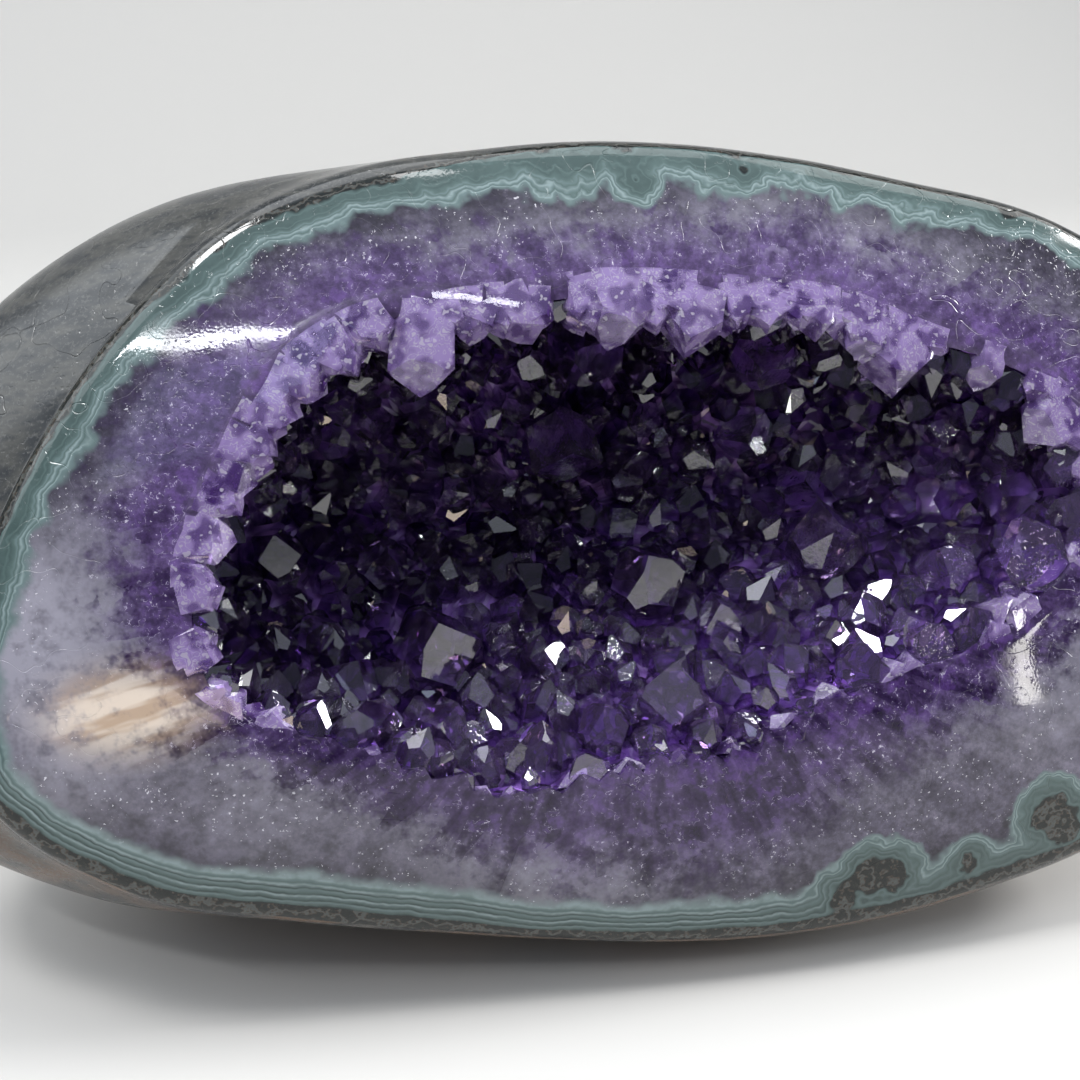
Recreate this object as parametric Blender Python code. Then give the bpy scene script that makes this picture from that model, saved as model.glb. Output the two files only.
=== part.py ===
"""A polished amethyst geode: a polished stone with a cut face, and the crust of crystals in its hollow.

Everything is modelled in the cut face's own axes: x to the right along the face, y up along it and z
out of it. An empty then leans the face back and stands the stone on its flat spot.
"""

import math
import random

import bmesh
import bpy
from mathutils import Matrix, Vector

MM = 0.001

# The cut face: how far it leans back, how much it crowns, and its edge, as radii in millimetres from the
# face's centre every 15 degrees, anticlockwise from +x.
FACE_LEAN = math.radians(20)
FACE_CROWN = 12 * MM
FACE_CROWN_POWER = 3
FACE_RADII = [
    129, 122, 105, 87, 77, 72, 70.5, 72, 77.5, 84, 89, 96,
    105, 112, 100, 83, 73, 69, 69.5, 74, 82.5, 96, 115, 127,
]
EDGE_ROLL = 4 * MM

# The polished back: its depth behind the edge, the oval it closes to, the bulge of its left end, and how
# much fuller it is underneath, where the flat spot that it stands on is ground.
BACK_DEPTH = 80 * MM
BACK_OVAL = (112 * MM, 66 * MM)
BACK_SHIFT = Vector((-14 * MM, -3 * MM))
BULGE = 43 * MM
BULGE_AT = math.radians(168)
BULGE_HALF_WIDTH = math.radians(68)
BULGE_RUN = 20 * MM
BACK_POWER = 0.8
BELLY = 4.5 * MM
BELLY_POWER = 0.35
FLAT_SPOT_DROP = 79.5 * MM

# The hollow: its mouth, as radii like the face's, its depth, and how far it widens behind the mouth.
MOUTH_RADII = [
    88, 83, 64, 54.5, 46.5, 43, 42, 42.5, 46.5, 55, 61, 64,
    69.5, 70, 56, 49, 45.5, 40.5, 37.5, 38.5, 42, 43.5, 53, 72,
]
HOLLOW_DEPTH = 46 * MM
HOLLOW_ROUNDING = 0.7
HOLLOW_SHIFT = Vector((-5 * MM, 6 * MM))
UNDERCUT_RUN = 8 * MM

# The crust: the thickness of its bed with the gap to the stone, that gap, how deep its crystals are rooted,
# their width at the root as a share of the full width, how far their ground fronts stay below the face, and
# the slope of a crystal's end faces.
CRUST_THICKNESS = 5.0 * MM
CRUST_GAP = 0.6 * MM
ROOT_DEPTH = 2.0 * MM
ROOT_TAPER = 0.75
FLUSH_DROP = 0.4 * MM
TIP_SLOPE = math.radians(51.8)

# The crystals that stand out on the hollow's wall: (angle in degrees, depth behind the mouth, radius).
WALL_CRYSTALS = [
    (223, 29.4, 9.0), (211, 21.1, 6.4), (296, 19.8, 5.5), (275, 25.9, 4.2), (348, 29.2, 8.1),
    (350, 23.3, 5.8), (335, 13.4, 5.3), (338, 9.1, 4.6), (182, 35.7, 5.4), (181, 30.6, 5.3),
    (193, 39.6, 5.8), (258, 39.3, 4.4), (227, 13.1, 5.2), (245, 10.4, 4.5), (286, 11.1, 7.9),
    (313, 32.0, 7.9), (46, 31.6, 5.6), (39, 24.9, 7.4), (20, 25.7, 4.9), (5, 31.4, 6.1),
    (23, 35.7, 6.8), (8, 27.4, 4.9), (79, 42.7, 8.5), (4, 34.7, 5.9), (352, 6.0, 8.0),
    (0, 21.3, 4.9), (74, 31.5, 9.0), (210, 43.1, 5.7), (238, 21.7, 4.5), (260, 21.5, 4.2),
    (265, 8.6, 5.2), (348, 14.0, 6.6), (349, 38.0, 5.5), (11, 21.2, 4.9), (1, 14.3, 5.8),
    (26, 41.8, 4.9), (155, 41.9, 5.3), (320, 9.7, 4.7), (322, 23.7, 5.6),
]

# The crystals scattered between them: radius from, radius to, and how many at most.
SCATTER_RADII = (4.4 * MM, 6.0 * MM)
SCATTER_MOST = 28
CRYSTAL_SPACING = 0.86
SCATTER_SEED = 1871
TRIES_PER_CRYSTAL = 60

# The crystals that point in over the mouth's rim, ground flush with the face: (angle in degrees, how far
# the tip stands in from the rim in millimetres, width in millimetres).
RIM_CRYSTALS = [
    (4, 6, 9), (12, 8, 12), (22, 5, 9), (32, 9, 14), (39, 5, 8), (47, 4, 8), (56, 4, 9), (67, 9, 13),
    (77, 4, 7), (85, 8, 13), (95, 4, 6), (104, 4, 6), (114, 4.5, 7), (126, 12, 13), (137, 4, 7), (146, 4, 10),
    (155, 5, 11), (166, 4, 8), (180, 5, 9), (190, 4, 8), (200, 3, 12), (215, 5, 9), (229, 5, 9), (242, 4, 9),
    (255, 5, 9), (269, 4, 9), (283, 5, 9), (296, 5, 10), (309, 4, 9), (321, 6, 10), (334, 5, 9), (347, 6, 9),
]

# How finely the turned forms are divided.
STONE_SEGMENTS, STONE_RINGS = 50, 24
HOLLOW_SEGMENTS, HOLLOW_RINGS = 40, 7

# Finishes: colour, roughness.
STONE_FINISH = ((0.30, 0.33, 0.32), 0.12)
AMETHYST_FINISH = ((0.16, 0.06, 0.30), 0.08)


def around(radii, theta):
    """The radius at an angle, on a smooth closed curve through evenly spaced radii in millimetres."""
    count = len(radii)
    place = (theta / math.tau) % 1 * count
    i = int(place)
    t = place - i
    a, b, c, d = (radii[(i + k) % count] for k in (-1, 0, 1, 2))
    return MM * (b + 0.5 * t * (c - a + t * (2 * a - 5 * b + 4 * c - d + t * (3 * (b - c) + d - a))))


def face_height(theta, radius):
    """How far the crowned face stands, below its centre, at a place on it."""
    return -FACE_CROWN * (radius / around(FACE_RADII, theta)) ** FACE_CROWN_POWER


def face_normal(theta, radius):
    fall = -FACE_CROWN_POWER * face_height(theta, radius) / radius
    return Vector((fall * math.cos(theta), fall * math.sin(theta), 1)).normalized()


def polar(radius, theta, height):
    return Vector((radius * math.cos(theta), radius * math.sin(theta), height))


def bulge(theta):
    """How far the back stands out beyond the face's edge: most at the left end, and a little below."""
    away = math.remainder(theta - BULGE_AT, math.tau)
    side = math.cos(away / BULGE_HALF_WIDTH * math.pi / 2) ** 2 if abs(away) < BULGE_HALF_WIDTH else 0
    return BULGE * side + BELLY * max(0, -math.sin(theta))


def back_point(theta, turn):
    """A point of the polished back, turn running from 0 at the face's edge to a quarter turn at its middle."""
    edge = around(FACE_RADII, theta)
    depth = BACK_DEPTH * math.sin(turn)
    share = depth / BACK_DEPTH
    side = edge + bulge(theta) * (1 - math.exp(-depth / BULGE_RUN))
    a, b = BACK_OVAL
    oval = a * b / math.hypot(b * math.cos(theta), a * math.sin(theta))
    power = BACK_POWER - BELLY_POWER * max(0, -math.sin(theta))
    radius = (side + (oval - side) * share**2) * math.cos(turn) ** power
    shift = BACK_SHIFT * share**1.5
    return polar(radius, theta, -FACE_CROWN - EDGE_ROLL - depth) + Vector((*shift, 0))


def stone_point(theta, share):
    """A point of the stone's outside, share running from 0 at the face's middle to 1 at the back's middle."""
    face_end, roll_end = 0.3, 0.42
    inner = around(FACE_RADII, theta) - EDGE_ROLL
    if share < face_end:
        radius = inner * share / face_end
        return polar(radius, theta, face_height(theta, radius))
    if share < roll_end:
        t = (share - face_end) / (roll_end - face_end)
        start = polar(inner, theta, face_height(theta, inner))
        corner = polar(inner + EDGE_ROLL, theta, -FACE_CROWN)
        end = back_point(theta, 0)
        return start * (1 - t) ** 2 + corner * 2 * t * (1 - t) + end * t**2
    return back_point(theta, (share - roll_end) / (1 - roll_end) * math.pi / 2)


def hollow_point(theta, depth, widen=0.0):
    """A point of the hollow's wall at a depth behind its mouth, the wall moved out by widen."""
    mouth = around(MOUTH_RADII, theta)
    undercut = MM * max(0, 3 + 3 * math.sin(theta) - 2 * math.cos(theta))
    power = 2.3 + 0.85 * math.sin(theta) - 0.45 * math.cos(theta)
    full = HOLLOW_DEPTH + widen
    share = min(1, max(0, depth) / full)
    radius = mouth + widen + undercut * (1 - math.exp(-max(0, depth) / UNDERCUT_RUN))
    radius *= (1 - share**power) ** HOLLOW_ROUNDING
    shift = HOLLOW_SHIFT * share
    return polar(radius, theta, face_height(theta, mouth + widen) - depth) + Vector((*shift, 0))


def hollow_normal(theta, depth):
    """The wall's normal, into the hollow."""
    turn, step = 0.004, 0.1 * MM
    along = hollow_point(theta + turn, depth) - hollow_point(theta - turn, depth)
    down = hollow_point(theta, depth + 2 * step) - hollow_point(theta, depth + step)
    return along.cross(down).normalized()


def moved_sphere(name, segments, rings, place):
    """A sphere, its vertices moved to place(angle, share), share being 0 in front and 1 at the back."""
    bm = bmesh.new()
    bmesh.ops.create_uvsphere(bm, u_segments=segments, v_segments=rings, radius=1)
    for vert in bm.verts:
        theta = math.atan2(vert.co.y, vert.co.x)
        vert.co = place(theta, math.acos(max(-1, min(1, vert.co.z))) / math.pi)
    bmesh.ops.triangulate(bm, faces=bm.faces, quad_method="FIXED")
    bmesh.ops.recalc_face_normals(bm, faces=bm.faces)
    return object_from(bm, name)


def object_from(bm, name):
    mesh = bpy.data.meshes.new(name)
    bm.to_mesh(mesh)
    bm.free()
    return bpy.data.objects.new(name, mesh)


def cut_flush(bm, point, normal):
    """Grinds away what stands beyond a plane, and closes the cut."""
    geometry = bm.verts[:] + bm.edges[:] + bm.faces[:]
    cut = bmesh.ops.bisect_plane(
        bm, geom=geometry, dist=1e-7, plane_co=point, plane_no=normal, clear_outer=True
    )
    edges = [e for e in cut["geom_cut"] if isinstance(e, bmesh.types.BMEdge)]
    if edges:
        bmesh.ops.contextual_create(bm, geom=edges)


def crystal(radius, length, rng):
    """One quartz point along +z: a six-sided prism with three large and three small end faces."""
    bm = bmesh.new()
    root = radius * ROOT_TAPER
    bmesh.ops.create_cone(bm, cap_ends=True, segments=6, radius1=root, radius2=radius, depth=length)
    bmesh.ops.translate(bm, verts=bm.verts, vec=(0, 0, length / 2))
    tip = Vector((0, 0, length))
    for k in range(6):
        azimuth = (k + 0.5) * math.pi / 3
        normal = polar(math.sin(TIP_SLOPE), azimuth, math.cos(TIP_SLOPE))
        setback = rng.uniform(0.05, 0.35) * radius if k % 2 else 0
        cut_flush(bm, tip + normal * setback, normal)
    return bm


def rooted(bm, place, normal, axis, roll):
    """Stands a crystal along axis on the wall at place, its deepest corner ROOT_DEPTH below the wall."""
    turn = axis.to_track_quat("Z", "Y").to_matrix().to_4x4()
    bm.transform(Matrix.Translation(place) @ turn @ Matrix.Rotation(roll, 4, "Z"))
    deepest = min((vert.co - place).dot(normal) for vert in bm.verts)
    bmesh.ops.translate(bm, verts=bm.verts, vec=normal * (-ROOT_DEPTH - deepest))


def grind_to_face(bm, theta):
    """Grinds a crystal near the mouth flush with the face, a little below it."""
    rim = around(MOUTH_RADII, theta)
    normal = face_normal(theta, rim)
    cut_flush(bm, polar(rim, theta, face_height(theta, rim)) - normal * FLUSH_DROP, normal)


def rim_crystals(rng):
    """The crystals that point in over the mouth from its rim, their fronts ground with the face."""
    made = []
    for degrees, inset, width in RIM_CRYSTALS:
        theta = math.radians(degrees)
        radius = width * MM / 2
        rim, behind = hollow_point(theta, 0), hollow_point(theta, radius)
        place = Vector((*min(rim.xy, behind.xy, key=lambda at: at.length), rim.z - 0.5 * radius))
        inward = hollow_normal(theta, 0) * Vector((1, 1, 0))
        inward.normalize()
        lean = Vector((rng.uniform(-0.15, 0.15), rng.uniform(-0.15, 0.15), -0.1))
        bm = crystal(radius, inset * MM + ROOT_DEPTH, rng)
        rooted(bm, place, inward, (inward + lean).normalized(), rng.uniform(0, math.tau))
        grind_to_face(bm, theta)
        made.append((bm, place, radius))
    return made


def wall_crystal(theta, depth, radius, rng):
    """A crystal on the hollow's wall, leaning a little at random and towards the mouth."""
    normal = hollow_normal(theta, depth)
    lean = Vector((rng.gauss(0, 0.2), rng.gauss(0, 0.2), rng.gauss(0.1, 0.15)))
    bm = crystal(radius, radius * rng.uniform(1.5, 2.1) + ROOT_DEPTH, rng)
    rooted(bm, hollow_point(theta, depth), normal, (normal + lean).normalized(), rng.uniform(0, math.tau))
    grind_to_face(bm, theta)
    return bm


def wall_crystals(rng, taken):
    """The listed crystals on the hollow's wall, then scattered ones clear of the places already taken."""
    made = []
    for degrees, depth, radius in WALL_CRYSTALS:
        theta = math.radians(degrees)
        taken.append((hollow_point(theta, depth * MM), radius * MM))
        made.append(wall_crystal(theta, depth * MM, radius * MM, rng))
    most = len(made) + SCATTER_MOST
    for _ in range(SCATTER_MOST * TRIES_PER_CRYSTAL):
        radius = rng.uniform(*SCATTER_RADII)
        theta = rng.uniform(0, math.tau)
        depth = HOLLOW_DEPTH * rng.uniform(0.1, 0.995)
        wall = hollow_point(theta, depth)
        clear = all((wall - p).length > CRYSTAL_SPACING * (radius + r) for p, r in taken)
        if clear and len(made) < most:
            taken.append((wall, radius))
            made.append(wall_crystal(theta, depth, radius, rng))
    return made


def material(name, finish):
    colour, roughness = finish
    made = bpy.data.materials.new(name)
    made.use_nodes = True
    shader = made.node_tree.nodes["Principled BSDF"]
    shader.inputs["Base Color"].default_value = (*colour, 1)
    shader.inputs["Roughness"].default_value = roughness
    shader.inputs["Metallic"].default_value = 0
    return made


def boolean(obj, operation, other):
    modifier = obj.modifiers.new(operation.title(), "BOOLEAN")
    modifier.operation = operation
    modifier.object = other
    modifier.solver = "EXACT"
    return modifier


def helper(obj, collection):
    """A cutter or guide, which no render shows."""
    obj.hide_render = True
    obj.display_type = "WIRE"
    collection.objects.link(obj)
    return obj


def flat_spot(obj):
    """Cuts the small flat spot that the stone rests on, level when the face leans back."""
    down = Vector((0, -math.cos(FACE_LEAN), -math.sin(FACE_LEAN)))
    bm = bmesh.new()
    bm.from_mesh(obj.data)
    cut_flush(bm, down * FLAT_SPOT_DROP, down)
    bm.to_mesh(obj.data)
    bm.free()


def hollow_cutter(name, widen):
    """The hollow as a solid, its front standing well clear of the face."""
    rings = HOLLOW_RINGS + 2
    rim = 2 / rings

    def place(theta, share):
        turn = (share - rim) / (1 - rim) * math.pi / 2
        point = hollow_point(theta, (HOLLOW_DEPTH + widen) * math.sin(max(0, turn)), widen)
        if share < 0.75 * rim:
            point *= min(1, 2 * share / rim)
            point.z = FACE_CROWN
        return point

    return moved_sphere(name, HOLLOW_SEGMENTS, rings, place)


def crust_bed(name):
    """The bed the crystals grow from: a sphere folded into a bowl, its front half the hollow's wall."""
    thickness = CRUST_THICKNESS - CRUST_GAP
    rings = 2 * HOLLOW_RINGS + 1
    lip_in, lip_out = HOLLOW_RINGS / rings, (HOLLOW_RINGS + 1) / rings

    def place(theta, share):
        if share < 0.5:
            point = hollow_point(theta, HOLLOW_DEPTH * math.cos(share / lip_in * math.pi / 2))
        else:
            turn = (share - lip_out) / (1 - lip_out) * math.pi / 2
            point = hollow_point(theta, (HOLLOW_DEPTH + thickness) * math.sin(turn), thickness)
        return point - Vector((0, 0, FLUSH_DROP))

    return moved_sphere(name, HOLLOW_SEGMENTS, rings, place)


def joined(name, pieces):
    """Several crystals as one mesh."""
    whole = bmesh.new()
    for bm in pieces:
        mesh = bpy.data.meshes.new(name)
        bm.to_mesh(mesh)
        bm.free()
        whole.from_mesh(mesh)
        bpy.data.meshes.remove(mesh)
    return object_from(whole, name)


def main():
    for obj in list(bpy.data.objects):
        bpy.data.objects.remove(obj)
    scene = bpy.context.scene.collection
    parts = bpy.data.collections.new("amethyst_geode")
    cutters = bpy.data.collections.new("cutters")
    scene.children.link(parts)
    scene.children.link(cutters)

    stone = moved_sphere("polished_stone", STONE_SEGMENTS, STONE_RINGS, stone_point)
    flat_spot(stone)
    stone.data.materials.append(material("polished_agate_and_basalt", STONE_FINISH))
    parts.objects.link(stone)
    boolean(stone, "DIFFERENCE", helper(hollow_cutter("hollow_cutter", CRUST_THICKNESS), cutters))

    rng = random.Random(SCATTER_SEED)
    rim = rim_crystals(rng)
    on_wall = wall_crystals(rng, [(place, radius) for _, place, radius in rim])
    crust = crust_bed("amethyst_crust")
    crust.data.materials.append(material("amethyst", AMETHYST_FINISH))
    parts.objects.link(crust)
    points = helper(joined("crystal_points", [bm for bm, _, _ in rim] + on_wall), cutters)
    boolean(crust, "UNION", points).use_self = True

    standing_frame = bpy.data.objects.new("face_frame", None)
    parts.objects.link(standing_frame)
    standing_frame.rotation_euler = (math.pi / 2 - FACE_LEAN, 0, 0)
    for obj in (stone, crust, *cutters.objects):
        obj.parent = standing_frame
    bpy.context.view_layer.update()
    corners = [stone.matrix_world @ v.co for v in stone.data.vertices]
    low, high = (Vector([pick(c[i] for c in corners) for i in range(3)]) for pick in (min, max))
    standing_frame.location = (-(low.x + high.x) / 2, -(low.y + high.y) / 2, -low.z)


main()
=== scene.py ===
"""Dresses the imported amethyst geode: the polished stone, the crystals of its hollow, a floor and light."""

import math
import random

import bmesh
import bpy
import numpy as np
from bpy.props import FloatProperty, FloatVectorProperty, IntProperty, PointerProperty
from mathutils import Matrix, Vector


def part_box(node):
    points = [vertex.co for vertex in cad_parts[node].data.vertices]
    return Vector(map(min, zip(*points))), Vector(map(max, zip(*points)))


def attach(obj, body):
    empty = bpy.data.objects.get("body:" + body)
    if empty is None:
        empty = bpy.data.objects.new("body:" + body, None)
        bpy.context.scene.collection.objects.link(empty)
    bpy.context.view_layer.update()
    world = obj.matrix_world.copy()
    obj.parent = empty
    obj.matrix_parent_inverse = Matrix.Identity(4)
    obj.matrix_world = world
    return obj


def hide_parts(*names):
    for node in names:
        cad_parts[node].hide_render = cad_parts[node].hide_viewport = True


bl_info = {
    "name": "Amethyst geode",
    "version": (1, 0, 0),
    "blender": (4, 5, 0),
    "location": "View3D > Sidebar > Geode",
    "description": "Makes a polished amethyst geode, piece by piece, round its packed solids",
    "category": "Add Mesh",
}

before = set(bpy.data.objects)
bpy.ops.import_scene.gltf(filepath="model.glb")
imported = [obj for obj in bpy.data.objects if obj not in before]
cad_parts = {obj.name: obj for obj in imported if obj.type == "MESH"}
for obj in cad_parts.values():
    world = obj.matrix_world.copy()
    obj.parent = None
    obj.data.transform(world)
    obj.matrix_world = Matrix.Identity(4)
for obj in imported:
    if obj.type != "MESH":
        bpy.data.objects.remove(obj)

MM = 0.001

# The shape of the solids, in the cut face's own axes: x along the face, y up it and z out of it.
FACE_LEAN = math.radians(20)
FACE_PLACE = (0, -0.04029, 0.0795)
FACE_CROWN = 12 * MM
FACE_CROWN_POWER = 3
FACE_RADII = (
    129, 122, 105, 87, 77, 72, 70.5, 72, 77.5, 84, 89, 96,
    105, 112, 100, 83, 73, 69, 69.5, 74, 82.5, 96, 115, 127,
)
EDGE_ROLL = 4 * MM
BACK_DEPTH = 80 * MM
BACK_OVAL = (112 * MM, 66 * MM)
BACK_SHIFT = (-14 * MM, -3 * MM, 0)
BULGE = 43 * MM
BULGE_AT = math.radians(168)
BULGE_HALF_WIDTH = math.radians(68)
BULGE_RUN = 20 * MM
BACK_POWER = 0.8
BELLY = 4.5 * MM
BELLY_POWER = 0.35
MOUTH_RADII = (
    88, 83, 64, 54.5, 46.5, 43, 42, 42.5, 46.5, 55, 61, 64,
    69.5, 70, 56, 49, 45.5, 40.5, 37.5, 38.5, 42, 43.5, 53, 72,
)
HOLLOW_DEPTH = 46 * MM
HOLLOW_ROUNDING = 0.7
HOLLOW_SHIFT = (-5 * MM, 6 * MM, 0)
UNDERCUT_RUN = 8 * MM
ROOT_DEPTH = 2.0 * MM
ROOT_TAPER = 0.75
TIP_SLOPE = math.radians(51.8)

# The crystals of the solids: the same list, and the same order of random draws.
WALL_CRYSTALS = (
    (223, 29.4, 9.0), (211, 21.1, 6.4), (296, 19.8, 5.5), (275, 25.9, 4.2), (348, 29.2, 8.1),
    (350, 23.3, 5.8), (335, 13.4, 5.3), (338, 9.1, 4.6), (182, 35.7, 5.4), (181, 30.6, 5.3),
    (193, 39.6, 5.8), (258, 39.3, 4.4), (227, 13.1, 5.2), (245, 10.4, 4.5), (286, 11.1, 7.9),
    (313, 32.0, 7.9), (46, 31.6, 5.6), (39, 24.9, 7.4), (20, 25.7, 4.9), (5, 31.4, 6.1),
    (23, 35.7, 6.8), (8, 27.4, 4.9), (79, 42.7, 8.5), (4, 34.7, 5.9), (352, 6.0, 8.0),
    (0, 21.3, 4.9), (74, 31.5, 9.0), (210, 43.1, 5.7), (238, 21.7, 4.5), (260, 21.5, 4.2),
    (265, 8.6, 5.2), (348, 14.0, 6.6), (349, 38.0, 5.5), (11, 21.2, 4.9), (1, 14.3, 5.8),
    (26, 41.8, 4.9), (155, 41.9, 5.3), (320, 9.7, 4.7), (322, 23.7, 5.6),
)
SCATTER_RADII = (4.4 * MM, 6.0 * MM)
SCATTER_MOST = 28
CRYSTAL_SPACING = 0.86
SCATTER_SEED = 1871
TRIES_PER_CRYSTAL = 60
RIM_CRYSTALS = (
    (4, 6, 9), (12, 8, 12), (22, 5, 9), (32, 9, 14), (39, 5, 8), (47, 4, 8), (56, 4, 9), (67, 9, 13),
    (77, 4, 7), (85, 8, 13), (95, 4, 6), (104, 4, 6), (114, 4.5, 7), (126, 12, 13), (137, 4, 7),
    (146, 4, 10), (155, 5, 11), (166, 4, 8), (180, 5, 9), (190, 4, 8), (200, 3, 12), (215, 5, 9),
    (229, 5, 9), (242, 4, 9), (255, 5, 9), (269, 4, 9), (283, 5, 9), (296, 5, 10), (309, 4, 9),
    (321, 6, 10), (334, 5, 9), (347, 6, 9),
)

# The banding under the skin, in millimetres every 15 degrees like the radii: the skin and the dark line,
# the green bands, how lobed rather than straight the bands are, and how wide the violet zone is.
SKIN_WIDTHS = (
    1.2, 1.4, 1.6, 1.6, 1.4, 1.2, 1.2, 2.0, 3.6, 2.8, 0.9, 0.5,
    0.6, 0.9, 1.4, 1.6, 1.3, 0.9, 1.0, 1.3, 1.6, 2.0, 1.8, 1.4,
)
DARK_WIDTHS = (
    1.6, 1.2, 0.8, 0.6, 0.6, 0.6, 0.7, 0.8, 0.9, 1.0, 1.2, 1.5,
    1.8, 2.2, 2.4, 2.4, 2.2, 1.8, 1.8, 2.0, 2.4, 2.4, 2.2, 1.8,
)
GREEN_WIDTHS = (
    4.5, 5.0, 5.0, 5.5, 5.5, 6.5, 8.0, 6.5, 4.6, 4.6, 4.6, 4.4,
    4.4, 4.4, 4.6, 4.8, 4.6, 4.2, 4.2, 4.4, 4.6, 4.6, 4.6, 4.4,
)
LOBE_SHARES = (
    0.5, 0.7, 0.9, 1.0, 1.0, 1.0, 1.0, 1.0, 0.9, 0.8, 0.7, 0.7,
    0.6, 0.3, 0.12, 0.1, 0.1, 0.12, 0.16, 0.25, 0.4, 0.5, 0.5, 0.5,
)
VIOLET_WIDTHS = (
    10, 12, 13, 14, 14, 13, 12, 12, 12, 14, 16, 17,
    13, 9, 7.5, 9, 12, 16, 19, 20, 18, 15, 12, 10,
)
# Nodules in the banding: x and y on the face and the radius of the dark core, in millimetres.
NODULES = (
    (37.5, -64.5, 2.6), (42.5, -61.5, 3.4), (46.5, -62.0, 2.8), (77.4, -54.0, 3.6), (80.5, -56.5, 3.4),
    (61.5, -61.5, 1.6), (28.5, 63.4, 0.5), (8.5, 62.0, 0.4),
)
# Milky places of the quartz: x, y and radius in millimetres, and strength.
MILKY_PLACES = (
    (-97, -4, 15, 1.4), (-92, -24, 14, 1.0), (-4, 51, 12, 0.3), (30, 52, 13, 0.5), (48, 50, 9, 0.4),
    (-62, -38, 12, 0.5), (62, 40, 9, 0.4), (80, -30, 14, 0.6), (-24, 46, 8, 0.5), (-12, -50, 26, 0.8),
)

# The painted warm reflection, a pale orange patch left of the hollow: x, y and radius in millimetres, and
# how much longer it is.
WARM_REFLECTION_PLACE = (-82.0, -20.0, 8.0)
WARM_REFLECTION_STRETCH = 1.7

# How deep the rebate and how proud the rim's crystals are, as shares every 15 degrees: full above and
# next to none below.
RIM_SHARES = (
    0.7, 0.9, 1.0, 1.0, 1.0, 1.0, 1.0, 1.0, 1.0, 1.0, 0.9, 0.8,
    0.7, 0.55, 0.3, 0.12, 0.1, 0.1, 0.1, 0.1, 0.1, 0.12, 0.25, 0.5,
)

WHITE = (1.0, 1.0, 1.0)

# The lights: name, side and height as seen from the stone in degrees, distance and size in metres, how
# bright the panel itself is, and its colour.
LIGHTS = (
    ("window_left", -100, 42, 1.3, (0.9, 0.9), 2.0, (0.93, 0.97, 1.0)),
    ("window_right", 105, 48, 1.3, (0.6, 0.7), 2.5, (1.0, 0.99, 0.97)),
    ("overhead", 180, 76, 1.2, (1.0, 0.5), 2.0, WHITE),
    ("lamp_left", -80, 62, 1.2, (0.3, 0.26), 26, WHITE),
    ("lamp_right", 88, 34, 1.2, (0.34, 0.3), 26, WHITE),
    ("lamp_side", 82, 10, 1.1, (0.22, 0.2), 26, WHITE),
    ("lamp_top", 14, 83, 1.2, (0.11, 0.1), 10, WHITE),
    ("strip_left", -41, 47, 1.1, (0.54, 0.026), 40, (0.93, 0.96, 1.0)),
    ("strip_right", -8, 48, 1.1, (0.36, 0.022), 12, (0.93, 0.96, 1.0)),
    ("strip_haze", -32, 39, 1.2, (0.42, 0.24), 1.1, (0.6, 0.72, 1.0)),
    ("warm_card", -25, 6, 1.0, (0.42, 0.14), 3, (1.0, 0.82, 0.66)),
    ("side_strip", 43, 0.5, 0.55, (0.016, 0.11), 16, (1.0, 0.98, 0.94)),
)

LIT_PLACE = (0.0, -0.03, 0.08)
CAMERA_PLACE = (-0.06385, -0.27321, 0.17347)
CAMERA_SIDE_AND_RISE = (-12, 21)

# The stone's mesh: segments round the face, rings in each part, and its way from the solids' hollow.
STONE_SEGMENTS = 600
FINE_SEGMENTS = 1440
HOLLOW_RINGS = 14
REBATE_RINGS = 10
QUARTZ_RINGS = 34
BACK_RINGS = 48
REBATE_POWER = 2.4
WALL_GAP = 0.4 * MM
RAGGED_RUN = 2.5 * MM
HOLLOW_LAYER = 9
RAY_GIRTH = 95.0

# The bed, the extra ground crystals of the rim and the small crystals of the wall.
BED_SEGMENTS = 240
BED_RINGS = 40
BED_SHELL_RINGS = 16
BED_TOP = 1.5 * MM
BED_THICKNESS = 0.35 * MM
BED_BACK = 0.3 * MM
EXTRA_TEETH = 84
EXTRA_TEETH_ANYWHERE = 24
TOOTH_TAPER = 0.88
FILL_SEED = 94
RAGGED_SEED = 7
FILL_MOST = 1100
FILL_TRIES = 14000
DEEPEST_SHARE = 0.995
WALL_GRIND = 0.4 * MM
QUARTZ_IOR = 1.544


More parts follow.
